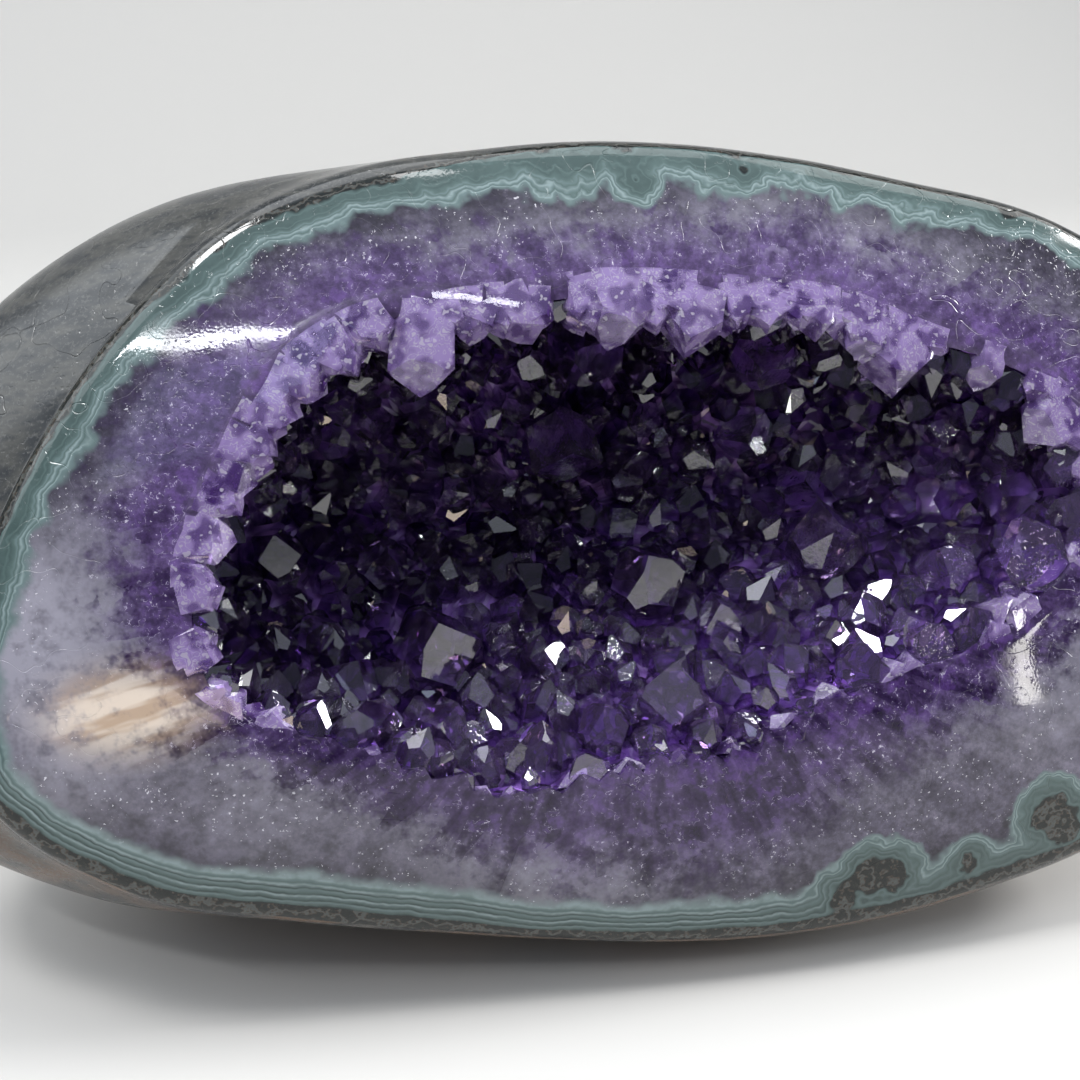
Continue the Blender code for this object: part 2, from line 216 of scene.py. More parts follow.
class Nodes:
    """The nodes of one material, node group or world, and what the materials here are made of."""

    def __init__(self, tree):
        self.tree = tree

    def put(self, value, socket):
        """Links or sets a socket."""
        if isinstance(value, bpy.types.NodeSocket):
            self.tree.links.new(value, socket)
        else:
            socket.default_value = value

    def node(self, kind, inputs=None, **settings):
        """Adds a node, sets it up and links or sets its inputs."""
        made = self.tree.nodes.new(kind)
        for name, value in settings.items():
            setattr(made, name, value)
        for key, value in (inputs or {}).items():
            self.put(value, made.inputs[key])
        return made

    def calc(self, operation, a, b=0.0, c=0.0):
        return self.node("ShaderNodeMath", {0: a, 1: b, 2: c}, operation=operation).outputs[0]

    def times(self, a, b):
        return self.calc("MULTIPLY", a, b)

    def plus(self, a, b):
        return self.calc("ADD", a, b)

    def minus(self, a, b):
        return self.calc("SUBTRACT", a, b)

    def vector_calc(self, operation, a, b=(0, 0, 0)):
        made = self.node("ShaderNodeVectorMath", {0: a, 1: b}, operation=operation)
        return made.outputs["Value" if operation == "DISTANCE" else "Vector"]

    def scaled(self, colour, by):
        return self.node("ShaderNodeVectorMath", {0: colour, "Scale": by}, operation="SCALE").outputs[0]

    def mixed(self, factor, a, b):
        a, b = (value if isinstance(value, bpy.types.NodeSocket) else (*value, 1) for value in (a, b))
        return self.node("ShaderNodeMix", {0: factor, 6: a, 7: b}, data_type="RGBA").outputs[2]

    def between(self, value, low, high, to_low=0.0, to_high=1.0):
        """A soft step from to_low to to_high as value goes from low to high."""
        limits = {"Value": value, "From Min": low, "From Max": high, "To Min": to_low, "To Max": to_high}
        return self.node("ShaderNodeMapRange", limits, interpolation_type="SMOOTHSTEP").outputs["Result"]

    def ramp(self, value, stops):
        made = self.node("ShaderNodeValToRGB", {"Fac": value})
        elements = made.color_ramp.elements
        while len(elements) < len(stops):
            elements.new(1.0)
        for element, (place, _) in zip(elements, stops):
            element.position = place
        for element, (_, colour) in zip(elements, stops):
            element.color = (*colour, 1)
        return made.outputs["Color"]

    def noise(self, vector, scale, detail=2.0, rough=0.5):
        inputs = {"Vector": vector, "Scale": scale, "Detail": detail, "Roughness": rough}
        return self.node("ShaderNodeTexNoise", inputs).outputs["Fac"]

    def attribute(self, name, output="Fac"):
        return self.node("ShaderNodeAttribute", attribute_name=name).outputs[output]

    def axis(self, vector, name):
        return self.node("ShaderNodeSeparateXYZ", {0: vector}).outputs[name]

    def bump(self, height, strength, distance):
        inputs = {"Height": height, "Strength": strength, "Distance": distance}
        return self.node("ShaderNodeBump", inputs).outputs["Normal"]


def polish_marks():
    """Tiny pits and hazy places left by grinding and polishing, shared by the stone and its crystals."""
    name = "polish_marks"
    if name in bpy.data.node_groups:
        return bpy.data.node_groups[name]
    group = bpy.data.node_groups.new(name, "ShaderNodeTree")
    for label, kind, way in (
        ("Vector", "NodeSocketVector", "INPUT"), ("Pits", "NodeSocketFloat", "INPUT"),
        ("Height", "NodeSocketFloat", "OUTPUT"), ("Haze", "NodeSocketFloat", "OUTPUT"),
    ):
        group.interface.new_socket(name=label, in_out=way, socket_type=kind)
    n = Nodes(group)
    start, end = n.node("NodeGroupInput"), n.node("NodeGroupOutput")
    place = start.outputs["Vector"]
    holes = n.between(n.noise(place, 0.9, 1.0, 0.7), 0.64, 0.70)
    grain = n.times(n.noise(place, 2.2, 0.0), 0.02)
    n.put(n.minus(grain, n.times(holes, start.outputs["Pits"])), end.inputs["Height"])
    n.put(n.between(n.noise(place, 0.11, 0.0), 0.4, 0.75), end.inputs["Haze"])
    return group


def new_material(name, roughness, **values):
    """A material with its Principled shader's own values set."""
    made = bpy.data.materials.new(name)
    made.use_nodes = True
    shader = made.node_tree.nodes["Principled BSDF"]
    shader.inputs["Roughness"].default_value = roughness
    for key, value in values.items():
        shader.inputs[key.replace("_", " ")].default_value = value
    return made, Nodes(made.node_tree), shader


def scene_object(name, data):
    made = bpy.data.objects.new(name, data)
    bpy.context.scene.collection.objects.link(made)
    return made


def show_piece(obj):
    """Makes a piece ride on the stone's one body."""
    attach(obj, "root")


def way_to(side, rise):
    """The way from the stone to what is seen from it at a side and a height in degrees."""
    side, rise = math.radians(side), math.radians(rise)
    return Vector((math.sin(side) * math.cos(rise), -math.cos(side) * math.cos(rise), math.sin(rise)))


def around(radii, theta):
    """The radius at an angle, on a smooth closed curve through evenly spaced radii in millimetres."""
    radii = np.asarray(radii, dtype=float)
    place = (np.asarray(theta) / math.tau) % 1 * len(radii)
    i = np.floor(place).astype(int)
    t = place - i
    a, b, c, d = (radii[(i + k) % len(radii)] for k in (-1, 0, 1, 2))
    return MM * (b + 0.5 * t * (c - a + t * (2 * a - 5 * b + 4 * c - d + t * (3 * (b - c) + d - a))))


def face_height(theta, radius):
    return -FACE_CROWN * (radius / around(FACE_RADII, theta)) ** FACE_CROWN_POWER


def face_normal(theta, radius):
    fall = -FACE_CROWN_POWER * face_height(theta, radius) / radius
    return Vector((fall * math.cos(theta), fall * math.sin(theta), 1)).normalized()


def polar(radius, theta, height):
    height = height + 0 * radius
    return np.stack([radius * np.cos(theta), radius * np.sin(theta), height], axis=-1)


def bulge(theta):
    away = np.mod(theta - BULGE_AT + math.pi, math.tau) - math.pi
    side = np.where(np.abs(away) < BULGE_HALF_WIDTH, np.cos(away / BULGE_HALF_WIDTH * math.pi / 2) ** 2, 0)
    return BULGE * side + BELLY * np.maximum(0, -np.sin(theta))


def back_point(theta, turn):
    edge = around(FACE_RADII, theta)
    depth = BACK_DEPTH * math.sin(turn)
    share = depth / BACK_DEPTH
    side = edge + bulge(theta) * (1 - math.exp(-depth / BULGE_RUN))
    a, b = BACK_OVAL
    oval = a * b / np.hypot(b * np.cos(theta), a * np.sin(theta))
    power = BACK_POWER - BELLY_POWER * np.maximum(0, -np.sin(theta))
    radius = (side + (oval - side) * share**2) * max(0.0, math.cos(turn)) ** power
    return polar(radius, theta, -FACE_CROWN - EDGE_ROLL - depth) + np.array(BACK_SHIFT) * share**1.5


def edge_point(theta, inset):
    """A point of the face or its rolled edge, inset being the way in from the edge along the radius."""
    edge = around(FACE_RADII, theta)
    inner = edge - EDGE_ROLL
    flat = polar(edge - inset, theta, face_height(theta, edge - inset))
    t = 1 - np.sqrt(np.clip(inset / EDGE_ROLL, 0, 1))
    height = face_height(theta, inner) * (1 - t) ** 2 - FACE_CROWN * 2 * t * (1 - t)
    height = height - (FACE_CROWN + EDGE_ROLL) * t**2
    rolled = polar(edge - inset, theta, height)
    return np.where((inset < EDGE_ROLL)[..., None], rolled, flat)


def hollow_point(theta, depth, widen=0.0):
    """A point of the hollow's wall at a depth behind its mouth, the wall moved out by widen."""
    mouth = around(MOUTH_RADII, theta)
    undercut = MM * np.maximum(0, 3 + 3 * np.sin(theta) - 2 * np.cos(theta))
    power = 2.3 + 0.85 * np.sin(theta) - 0.45 * np.cos(theta)
    full = HOLLOW_DEPTH + widen
    behind = np.maximum(0, depth)
    share = np.minimum(1, behind / full)
    radius = mouth + widen + undercut * (1 - np.exp(-behind / UNDERCUT_RUN))
    radius = radius * (1 - share**power) ** HOLLOW_ROUNDING
    place = polar(radius, theta, face_height(theta, mouth + widen) - depth)
    return place + np.array(HOLLOW_SHIFT) * np.asarray(share)[..., None]


def wall_at(theta, depth):
    return Vector(hollow_point(theta, depth))


def hollow_normal(theta, depth):
    """The wall's normal, into the hollow."""
    turn, step = 0.004, 0.1 * MM
    along = wall_at(theta + turn, depth) - wall_at(theta - turn, depth)
    down = wall_at(theta, depth + 2 * step) - wall_at(theta, depth + step)
    return along.cross(down).normalized()


def standing(points):
    """Turns points from the face's axes to the world, where the stone stands on its flat spot."""
    c, s = math.sin(FACE_LEAN), math.cos(FACE_LEAN)
    x, y, z = np.moveaxis(np.asarray(points), -1, 0)
    return np.stack([x, y * c - z * s, y * s + z * c], axis=-1) + np.array(FACE_PLACE)


def within_box(points, node):
    low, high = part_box(node)
    return np.clip(points, np.array(low), np.array(high))


def turned_mesh(name, rings, ends):
    """A closed mesh through rings of points, with a last point at each end."""
    count, size = len(rings), len(rings[0])
    verts = np.concatenate([*rings, *[np.asarray(end)[None] for end in ends]])
    faces = []
    for k in range(count - 1):
        a, b = k * size, (k + 1) * size
        for i in range(size):
            j = (i + 1) % size
            faces.append((a + i, b + i, b + j, a + j))
    first, last = count * size, count * size + 1
    faces += [(first, i, (i + 1) % size) for i in range(size)]
    top = (count - 1) * size
    faces += [(last, top + (i + 1) % size, top + i) for i in range(size)]
    mesh = bpy.data.meshes.new(name)
    mesh.from_pydata(verts.tolist(), [], faces)
    mesh.polygons.foreach_set("use_smooth", [True] * len(faces))
    return mesh


def add_values(mesh, name, values):
    values = np.asarray(values, dtype=float)
    kind, field = ("FLOAT", "value") if values.ndim == 1 else ("FLOAT_VECTOR", "vector")
    mesh.attributes.new(name, kind, "POINT").data.foreach_set(field, values.ravel())


def nearest(points, curve):
    """How far each point of the plane is from a closed curve."""
    made = np.empty(len(points))
    for start in range(0, len(points), 4000):
        part = points[start:start + 4000, None, :2] - curve[None, :, :2]
        made[start:start + 4000] = np.sqrt((part**2).sum(axis=2).min(axis=1))
    return made


def near(points, x, y, radius, stretch=1):
    """How near each point of the face is to a place: 1 there, fading out over its radius in millimetres."""
    return np.exp(-(((points[:, 0] / MM - x) / stretch) ** 2 + (points[:, 1] / MM - y) ** 2) / radius**2)


def ragged(theta):
    """How far the ground crystals at the mouth's edge stand in over the hollow, in points and notches."""
    rng = random.Random(RAGGED_SEED)
    knots, insets = [0.0], [1.0]
    while knots[-1] < math.tau - 0.09:
        knots.append(knots[-1] + rng.uniform(0.03, 0.09))
        insets.append(rng.uniform(1.4, 3.2) if len(knots) % 2 else rng.uniform(-0.4, 0.9))
    knots.append(math.tau)
    insets.append(insets[0])
    below = np.maximum(0, 1 - 1.05 * around(RIM_SHARES, theta) / MM)
    return MM * np.interp(np.mod(theta, math.tau), knots, insets) * below


def stone_rings(theta, rebate, reach):
    """The stone's rings from the hollow's floor to the back, each with its band coordinate."""
    edge = around(FACE_RADII, theta)
    inset = ragged(theta)
    mouth = around(MOUTH_RADII, theta) - inset
    turn = 0.002
    swing = (around(FACE_RADII, theta + turn) - around(FACE_RADII, theta - turn)) / (2 * turn * edge)
    slant = np.sqrt(1 + swing**2)
    skin = around(SKIN_WIDTHS, theta)
    dark = around(DARK_WIDTHS, theta)
    green = around(GREEN_WIDTHS, theta)
    band_end = (skin + dark + green) * slant
    rings = []
    drop = rebate * around(RIM_SHARES, theta) / MM
    for k in range(HOLLOW_RINGS):
        share = math.cos(math.pi / 2 * (k + 1) / HOLLOW_RINGS)
        depth = np.maximum((HOLLOW_DEPTH + WALL_GAP) * share, drop)
        inward = polar(inset * np.exp(-depth / RAGGED_RUN), theta, 0.0)
        rings.append((hollow_point(theta, depth, WALL_GAP) - inward, HOLLOW_LAYER + 0 * theta))
    rim = mouth + WALL_GAP
    for k in range(REBATE_RINGS):
        t = k / REBATE_RINGS
        radius = rim + reach * t
        height = face_height(theta, radius) - drop * (1 - t) ** REBATE_POWER
        layer = 3 + (edge - radius - band_end) / (10 * MM) / slant
        rings.append((polar(radius, theta, height), layer))
    for k in range(QUARTZ_RINGS):
        radius = (rim + reach) + (edge - band_end - rim - reach) * k / QUARTZ_RINGS
        layer = 3 + (edge - radius - band_end) / (10 * MM) / slant
        rings.append((edge_point(theta, edge - radius), layer))
    for band, outer, width, count in ((2, skin + dark, green, 8), (1, skin, dark, 4), (0, 0, skin, 4)):
        for part in np.linspace(1, 0, count + 1)[:-1]:
            rings.append((edge_point(theta, (outer + width * part) * slant), band + part + 0 * theta))
    for k in range(BACK_RINGS):
        turn = math.pi / 2 * k / BACK_RINGS
        depth = BACK_DEPTH * math.sin(turn)
        rings.append((back_point(theta, turn), -depth / (2 * MM) + 0 * theta))
    return rings


def stone_mesh(values):
    theta = np.linspace(0, math.tau, STONE_SEGMENTS, endpoint=False)
    rings = stone_rings(theta, values.rebate_depth, values.rebate_width)
    floor = hollow_point(0.0, HOLLOW_DEPTH + WALL_GAP, WALL_GAP)
    back = back_point(0.0, math.pi / 2)
    places = np.concatenate([*[ring for ring, _ in rings], floor[None], back[None]])
    layer = np.concatenate([*[layer for _, layer in rings], [HOLLOW_LAYER], [-BACK_DEPTH / (2 * MM)]])
    shown = within_box(standing(places), "polished_stone")
    size = len(theta)
    mesh = turned_mesh(
        "polished_stone_look", [shown[k * size:(k + 1) * size] for k in range(len(rings))], shown[-2:]
    )
    fine = np.linspace(0, math.tau, FINE_SEGMENTS, endpoint=False)
    edge = polar(around(FACE_RADII, fine), fine, 0.0)
    mouth = polar(around(MOUTH_RADII, fine), fine, 0.0)
    from_mouth = nearest(places, mouth) / MM
    angle = np.arctan2(places[:, 1], places[:, 0])
    inside = np.hypot(places[:, 0], places[:, 1]) < around(MOUTH_RADII, angle)
    from_mouth = np.where(layer > HOLLOW_LAYER - 0.1, -4.0, np.where(inside, -from_mouth, from_mouth))
    run = np.concatenate([[0], np.cumsum(np.hypot(*np.diff(edge[:, :2], axis=0).T))])
    run = run / run[-1] * math.tau
    way = np.interp(np.mod(angle, math.tau), fine, run)
    depth = np.where(layer < 0, layer * 2, nearest(places, edge) / MM)
    ray = np.stack([RAY_GIRTH * np.cos(way), RAY_GIRTH * np.sin(way), depth], axis=-1)
    for name, amounts in {
        "layer": layer,
        "from_mouth": from_mouth,
        "lobes": around(LOBE_SHARES, angle) / MM,
        "violet": around(VIOLET_WIDTHS, angle) / MM,
        "milk": sum(strength * near(places, x, y, radius) for x, y, radius, strength in MILKY_PLACES),
        # Painted warm reflection: where the pale orange patch is painted.
        "warm_reflection": near(places, *WARM_REFLECTION_PLACE, WARM_REFLECTION_STRETCH) * (layer > 3),
        "ray": ray,
        "face_place": places / MM,
    }.items():
        add_values(mesh, name, amounts)
    mesh.set_sharp_from_angle(angle=math.radians(50))
    return mesh


def banded(n, place, ray):
    """The band coordinate, with its lobes, its waviness and its nodules."""
    layer, lobes = n.attribute("layer"), n.attribute("lobes")
    wave = n.minus(n.noise(place, 0.12, 3.0, 0.6), 0.5)
    inner = n.between(layer, 0.4, 1.8)
    amount = n.calc("MULTIPLY_ADD", lobes, 0.9, 0.3)
    wave = n.times(n.times(wave, amount), inner)
    blobs = n.vector_calc("MULTIPLY", ray, (1, 1, 0.35))
    cells = n.node("ShaderNodeTexVoronoi", {"Vector": blobs, "Scale": 0.21}).outputs["Distance"]
    away = n.times(n.calc("POWER", cells, 1.6), n.times(lobes, 0.5))
    lobed = n.minus(away, n.times(lobes, 0.14))
    layer = n.plus(n.plus(layer, wave), n.times(lobed, inner))
    uneven = n.times(n.minus(n.noise(place, 0.35, 1.0, 0.6), 0.5), 3.2)
    for x, y, radius in NODULES:
        away = n.vector_calc("DISTANCE", n.vector_calc("MULTIPLY", place, (1, 1, 0)), (x, y, 0))
        own = n.calc("MULTIPLY_ADD", n.minus(n.plus(away, uneven), radius), 0.25, 2.0)
        layer = n.calc("SMOOTH_MIN", layer, own, 0.5)
    return layer


def stone_material(values):
    """Polished basalt skin, dark line, green agate bands, and quartz that turns violet at the mouth."""
    made, n, shader = new_material("polished_agate_and_basalt_look", 0.07)
    place, ray = n.attribute("face_place", "Vector"), n.attribute("ray", "Vector")
    layer = banded(n, place, ray)
    plain_layer, from_mouth = n.attribute("layer"), n.attribute("from_mouth")

    # Skin: streaks that run along the stone, browner below.
    along = n.vector_calc("MULTIPLY", place, (0.25, 1, 0.8))
    streaks = n.noise(along, 0.16, 3.0, 0.62)
    skin = n.ramp(streaks, (
        (0.28, (0.012, 0.014, 0.016)), (0.42, (0.04, 0.043, 0.046)), (0.52, (0.075, 0.075, 0.07)),
        (0.6, (0.035, 0.038, 0.04)), (0.72, (0.11, 0.105, 0.095)),
    ))
    rise = n.axis(place, "Y")
    brown = n.times(n.between(rise, -20, -52), n.between(streaks, 0.62, 0.4))
    skin = n.mixed(brown, skin, (0.13, 0.085, 0.058))
    grains = n.noise(place, 1.4, 2.0, 0.7)
    speckle = n.between(grains, 0.5, 0.68)
    skin = n.mixed(n.times(speckle, 0.5), skin, (0.12, 0.12, 0.115))

    # Dark line: olive black with grains.
    dark = n.ramp(grains, (
        (0.38, (0.003, 0.005, 0.004)), (0.56, (0.010, 0.014, 0.012)), (0.66, (0.05, 0.05, 0.038)),
        (0.8, (0.012, 0.016, 0.014)),
    ))

    mottle = n.noise(place, 0.22, 3.0, 0.7)
    turns = n.calc("MULTIPLY_ADD", mottle, 26.0, n.times(layer, 5.0))
    stripes = n.ramp(n.calc("MULTIPLY_ADD", n.calc("SINE", turns), 0.5, 0.5), (
        (0.0, (0.003, 0.005, 0.005)), (0.5, (0.008, 0.010, 0.009)), (0.75, (0.075, 0.052, 0.038)),
        (1.0, (0.10, 0.11, 0.105)),
    ))
    dark = n.mixed(0.6, dark, stripes)

    # Green bands: straight stripes below, a dark band with a pale fringe in the lobed parts.
    green_place = n.minus(layer, 2.0)
    light, pale, mid, deep = values.band_light, values.band_pale, values.band_mid, values.band_deep
    striped = n.ramp(green_place, (
        (0.0, deep), (0.1, mid), (0.16, light), (0.22, deep), (0.32, mid), (0.4, pale), (0.46, deep),
        (0.54, mid), (0.62, light), (0.68, deep), (0.78, pale), (0.86, mid), (0.93, light), (1.0, pale),
    ))
    soft = [0.5 * (a + b) for a, b in zip(deep, mid)]
    fringed = n.ramp(green_place, (
        (0.0, deep), (0.12, mid), (0.18, soft), (0.4, soft), (0.46, mid), (0.52, soft), (0.62, mid),
        (0.68, light), (0.73, mid), (0.8, pale), (0.86, light), (0.91, mid), (0.96, pale), (1.0, light),
    ))
    green = n.mixed(n.between(n.attribute("lobes"), 0.2, 0.6), striped, fringed)
    green = n.mixed(n.between(mottle, 0.4, 0.65, 0.0, 0.45), green, mid)

    # Quartz: grey violet behind the bands, then milky, with columns towards the hollow and white flecks.
    inward = n.times(n.minus(plain_layer, 3.0), 10.0)
    columns = n.noise(n.vector_calc("MULTIPLY", ray, (1, 1, 0.3)), 0.26, 2.0, 0.6)
    fade = n.plus(inward, n.times(n.minus(mottle, 0.5), 12.0))
    quartz = n.mixed(n.between(fade, 0.0, 9.0), values.quartz_dark, values.quartz_light)
    quartz = n.mixed(n.between(columns, 0.35, 0.68), n.mixed(0.4, quartz, (0.02, 0.015, 0.035)), quartz)
    sand = n.noise(place, 0.75, 3.0, 0.75)
    grain = n.times(n.between(sand, 0.3, 0.7, 0.7, 1.3), n.between(mottle, 0.3, 0.68, 0.78, 1.4))
    quartz = n.scaled(quartz, grain)
    milky = n.times(n.attribute("milk"), n.between(mottle, 0.25, 0.6, 0.45, 1.0))
    quartz = n.mixed(n.times(milky, 0.75), quartz, values.quartz_milk)
    fleck = n.between(grains, 0.655, 0.69)
    patch = n.between(n.noise(place, 0.13, 0.0), 0.40, 0.60)
    quartz = n.mixed(n.times(n.times(fleck, patch), 0.9), quartz, (0.66, 0.64, 0.70))

    # Violet zone: crystals side by side, each its own shade, with pale seams between them.
    blocks = n.vector_calc("MULTIPLY", ray, (1, 1, 0.5))
    blocks = n.vector_calc("ADD", blocks, n.times(mottle, 5.0))
    cell = n.node("ShaderNodeTexVoronoi", {"Vector": blocks, "Scale": 0.2})
    shade = n.node("ShaderNodeSeparateColor", {0: cell.outputs["Color"]}).outputs["Red"]
    above = n.between(rise, -30, 30, -0.12, 0.35)
    tone = n.calc("MULTIPLY_ADD", shade, 0.4, n.times(n.between(columns, 0.4, 0.62), 0.35))
    tone = n.times(n.plus(tone, above), 0.75)
    violet = n.mixed(tone, values.violet_deep, values.violet_light)
    glow = n.between(mottle, 0.5, 0.62)
    violet = n.mixed(n.times(glow, 0.35), violet, (0.075, 0.022, 0.18))
    split = n.calc("ABSOLUTE", n.minus(mottle, 0.52))
    line = n.times(n.between(split, 0.0, 0.006, 0.8, 0.0), n.between(sand, 0.5, 0.6))
    violet = n.mixed(line, violet, (0.45, 0.40, 0.55))
    violet = n.scaled(violet, grain)
    jag = n.times(n.minus(shade, 0.5), 5.0)
    jag = n.plus(jag, n.times(n.minus(mottle, 0.5), 22.0))
    into = n.calc("DIVIDE", n.plus(from_mouth, jag), n.attribute("violet"))
    tinted = n.times(n.between(into, 1.4, 0.5), n.between(mottle, 0.3, 0.6, 1.0, 0.84))
    colour = n.mixed(tinted, quartz, violet)
    chips = n.between(sand, 0.64, 0.70)
    edge_zone = n.between(into, 1.3, 0.7, 0.12, 0.8)
    colour = n.mixed(n.times(n.times(chips, edge_zone), patch), colour, (0.6, 0.56, 0.68))
    # Painted warm reflection: a pale orange patch painted on the quartz left of the hollow.
    warm_reflection_mask = n.times(n.attribute("warm_reflection"), n.between(mottle, 0.3, 0.55, 0.55, 1.0))
    warm_reflection_colour = n.mixed(n.between(columns, 0.4, 0.6), (0.40, 0.29, 0.21), (0.64, 0.55, 0.47))
    colour = n.mixed(n.between(warm_reflection_mask, 0.1, 0.9), colour, warm_reflection_colour)
    colour = n.mixed(n.between(layer, 3.22, 2.98), colour, green)
    colour = n.mixed(n.between(layer, 2.06, 1.94), colour, dark)
    colour = n.mixed(n.between(layer, 1.0, 0.82), colour, skin)
    n.put(colour, shader.inputs["Base Color"])

    marks = n.node("ShaderNodeGroup", {"Vector": place, "Pits": 0.12}, node_tree=polish_marks())
    rough = n.calc("MULTIPLY_ADD", marks.outputs["Haze"], 0.05, 0.045)
    rough = n.plus(rough, n.between(plain_layer, 0.5, -4.0, 0.0, 0.2))
    ledge = n.times(n.between(from_mouth, 6.0, 4.0, 0.0, 0.3), n.between(rise, -5, 15))
    n.put(n.plus(rough, ledge), shader.inputs["Roughness"])
    seams = n.calc("ABSOLUTE", n.minus(n.noise(place, 0.1, 1.0, 0.6), 0.5))
    crack = n.between(seams, 0.0, 0.0035, 1.0, 0.0)
    waves = n.times(n.noise(place, 0.045, 0.0), 1.6)
    height = n.plus(n.minus(marks.outputs["Height"], n.times(crack, 0.5)), waves)
    n.put(n.bump(height, 0.35, 0.4 * MM), shader.inputs["Normal"])
    return made


def cut_flush(bm, point, normal):
    """Grinds away what stands beyond a plane, and closes the cut."""
    geometry = bm.verts[:] + bm.edges[:] + bm.faces[:]
    cut = bmesh.ops.bisect_plane(
        bm, geom=geometry, dist=1e-7, plane_co=point, plane_no=normal, clear_outer=True
    )
    edges = [e for e in cut["geom_cut"] if isinstance(e, bmesh.types.BMEdge)]
    if edges:
        bmesh.ops.contextual_create(bm, geom=edges)


def end_setbacks(rng):
    """How far each of the six end faces stands back: none for the large three, as shares of the radius."""
    return [rng.uniform(0.05, 0.35) if k % 2 else 0 for k in range(6)]


def crystal(radius, length, setbacks, taper=ROOT_TAPER):
    """One quartz point along +z: a six-sided prism with three large and three small end faces."""
    bm = bmesh.new()
    bmesh.ops.create_cone(
        bm, cap_ends=True, segments=6, radius1=radius * taper, radius2=radius, depth=length
    )
    bmesh.ops.translate(bm, verts=bm.verts, vec=(0, 0, length / 2))
    tip = Vector((0, 0, length))
    for k, setback in enumerate(setbacks):
        azimuth = (k + 0.5) * math.pi / 3
        normal = Vector(polar(math.sin(TIP_SLOPE), azimuth, math.cos(TIP_SLOPE)))
        cut_flush(bm, tip + normal * setback * radius, normal)
    return bm


def rooted(bm, place, normal, axis, roll, depth=ROOT_DEPTH):
    """Stands a crystal along axis on the wall at place, its deepest corner at a depth below the wall."""
    turn = axis.to_track_quat("Z", "Y").to_matrix().to_4x4()
    bm.transform(Matrix.Translation(place) @ turn @ Matrix.Rotation(roll, 4, "Z"))
    deepest = min((vert.co - place).dot(normal) for vert in bm.verts)
    bmesh.ops.translate(bm, verts=bm.verts, vec=normal * (-depth - deepest))


def grind_to_face(bm, theta, drop):
    """Grinds a crystal near the mouth flush with the face, a little below it."""
    rim = around(MOUTH_RADII, theta)
    normal = face_normal(theta, rim)
    cut_flush(bm, Vector(polar(rim, theta, face_height(theta, rim))) - normal * drop, normal)


def rim_plans(rng):
    """The rim's crystals of the solids, with their random draws."""
    plans = []
    for degrees, inset, width in RIM_CRYSTALS:
        lean = Vector((rng.uniform(-0.15, 0.15), rng.uniform(-0.15, 0.15), -0.1))
        setbacks, roll = end_setbacks(rng), rng.uniform(0, math.tau)
        plans.append((math.radians(degrees), inset * MM, width * MM / 2, lean, setbacks, roll))
    return plans


def wall_plan(theta, depth, radius, rng):
    lean = Vector((rng.gauss(0, 0.2), rng.gauss(0, 0.2), rng.gauss(0.1, 0.15)))
    length = radius * rng.uniform(1.5, 2.1) + ROOT_DEPTH
    setbacks = end_setbacks(rng)
    return theta, depth, radius, lean, length, setbacks, rng.uniform(0, math.tau)


def wall_plans(rng, taken):
    """The wall's crystals of the solids, with their random draws."""
    plans = []
    for degrees, depth, radius in WALL_CRYSTALS:
        theta = math.radians(degrees)
        taken.append((wall_at(theta, depth * MM), radius * MM))
        plans.append(wall_plan(theta, depth * MM, radius * MM, rng))
    most = len(plans) + SCATTER_MOST
    for _ in range(SCATTER_MOST * TRIES_PER_CRYSTAL):
        radius = rng.uniform(*SCATTER_RADII)
        theta = rng.uniform(0, math.tau)
        depth = HOLLOW_DEPTH * rng.uniform(0.1, DEEPEST_SHARE)
        wall = wall_at(theta, depth)
        clear = all((wall - p).length > CRYSTAL_SPACING * (radius + r) for p, r in taken)
        if clear and len(plans) < most:
            taken.append((wall, radius))
            plans.append(wall_plan(theta, depth, radius, rng))
    return plans


def rim_place(theta, radius):
    """Where a rim crystal stands, as in the solids: on the narrower of the rim and the wall behind it."""
    rim, behind = wall_at(theta, 0), wall_at(theta, radius)
    return Vector((*min(rim.xy, behind.xy, key=lambda at: at.length), rim.z - 0.5 * radius))


def fill_plans(taken, most):
    """Smaller crystals, largest first, close together between the crystals of the solids."""
    rng = random.Random(FILL_SEED)
    places = [tuple(p) for p, _ in taken]
    radii = [r for _, r in taken]
    centres = np.zeros((len(places) + most, 3))
    sizes = np.zeros(len(places) + most)
    count = len(places)
    centres[:count], sizes[:count] = places, radii
    plans = []
    for k in range(FILL_TRIES):
        share = k / FILL_TRIES
        radius = (4.4 - 2.3 * share**0.8) * rng.uniform(0.85, 1.1) * MM
        theta = rng.uniform(0, math.tau)
        depth = max(0.9 * radius, HOLLOW_DEPTH * rng.uniform(0.02, 1.0) ** 1.15)
        wall = hollow_point(theta, min(depth, DEEPEST_SHARE * HOLLOW_DEPTH))
        room = np.sqrt(((centres[:count] - wall) ** 2).sum(axis=1)) - 0.6 * (sizes[:count] + radius)
        if room.min() > 0 and len(plans) < most:
            centres[count], sizes[count] = wall, radius
            count += 1
            theta, depth, radius, lean, length, setbacks, roll = wall_plan(theta, depth, radius, rng)
            even = rng.choice((0.2, 0.3, 0.9))
            setbacks = [even * setback for setback in setbacks]
            plans.append((theta, depth, radius, lean * 1.8, length, setbacks, roll))
    return plans


def wall_crystal(plan):
    theta, depth, radius, lean, length, setbacks, roll = plan
    depth = min(depth, DEEPEST_SHARE * HOLLOW_DEPTH)
    normal = hollow_normal(theta, depth)
    bm = crystal(radius, length, setbacks)
    rooted(bm, wall_at(theta, depth), normal, (normal + lean).normalized(), roll)
    grind_to_face(bm, theta, WALL_GRIND + around(RIM_SHARES, theta))
    return bm


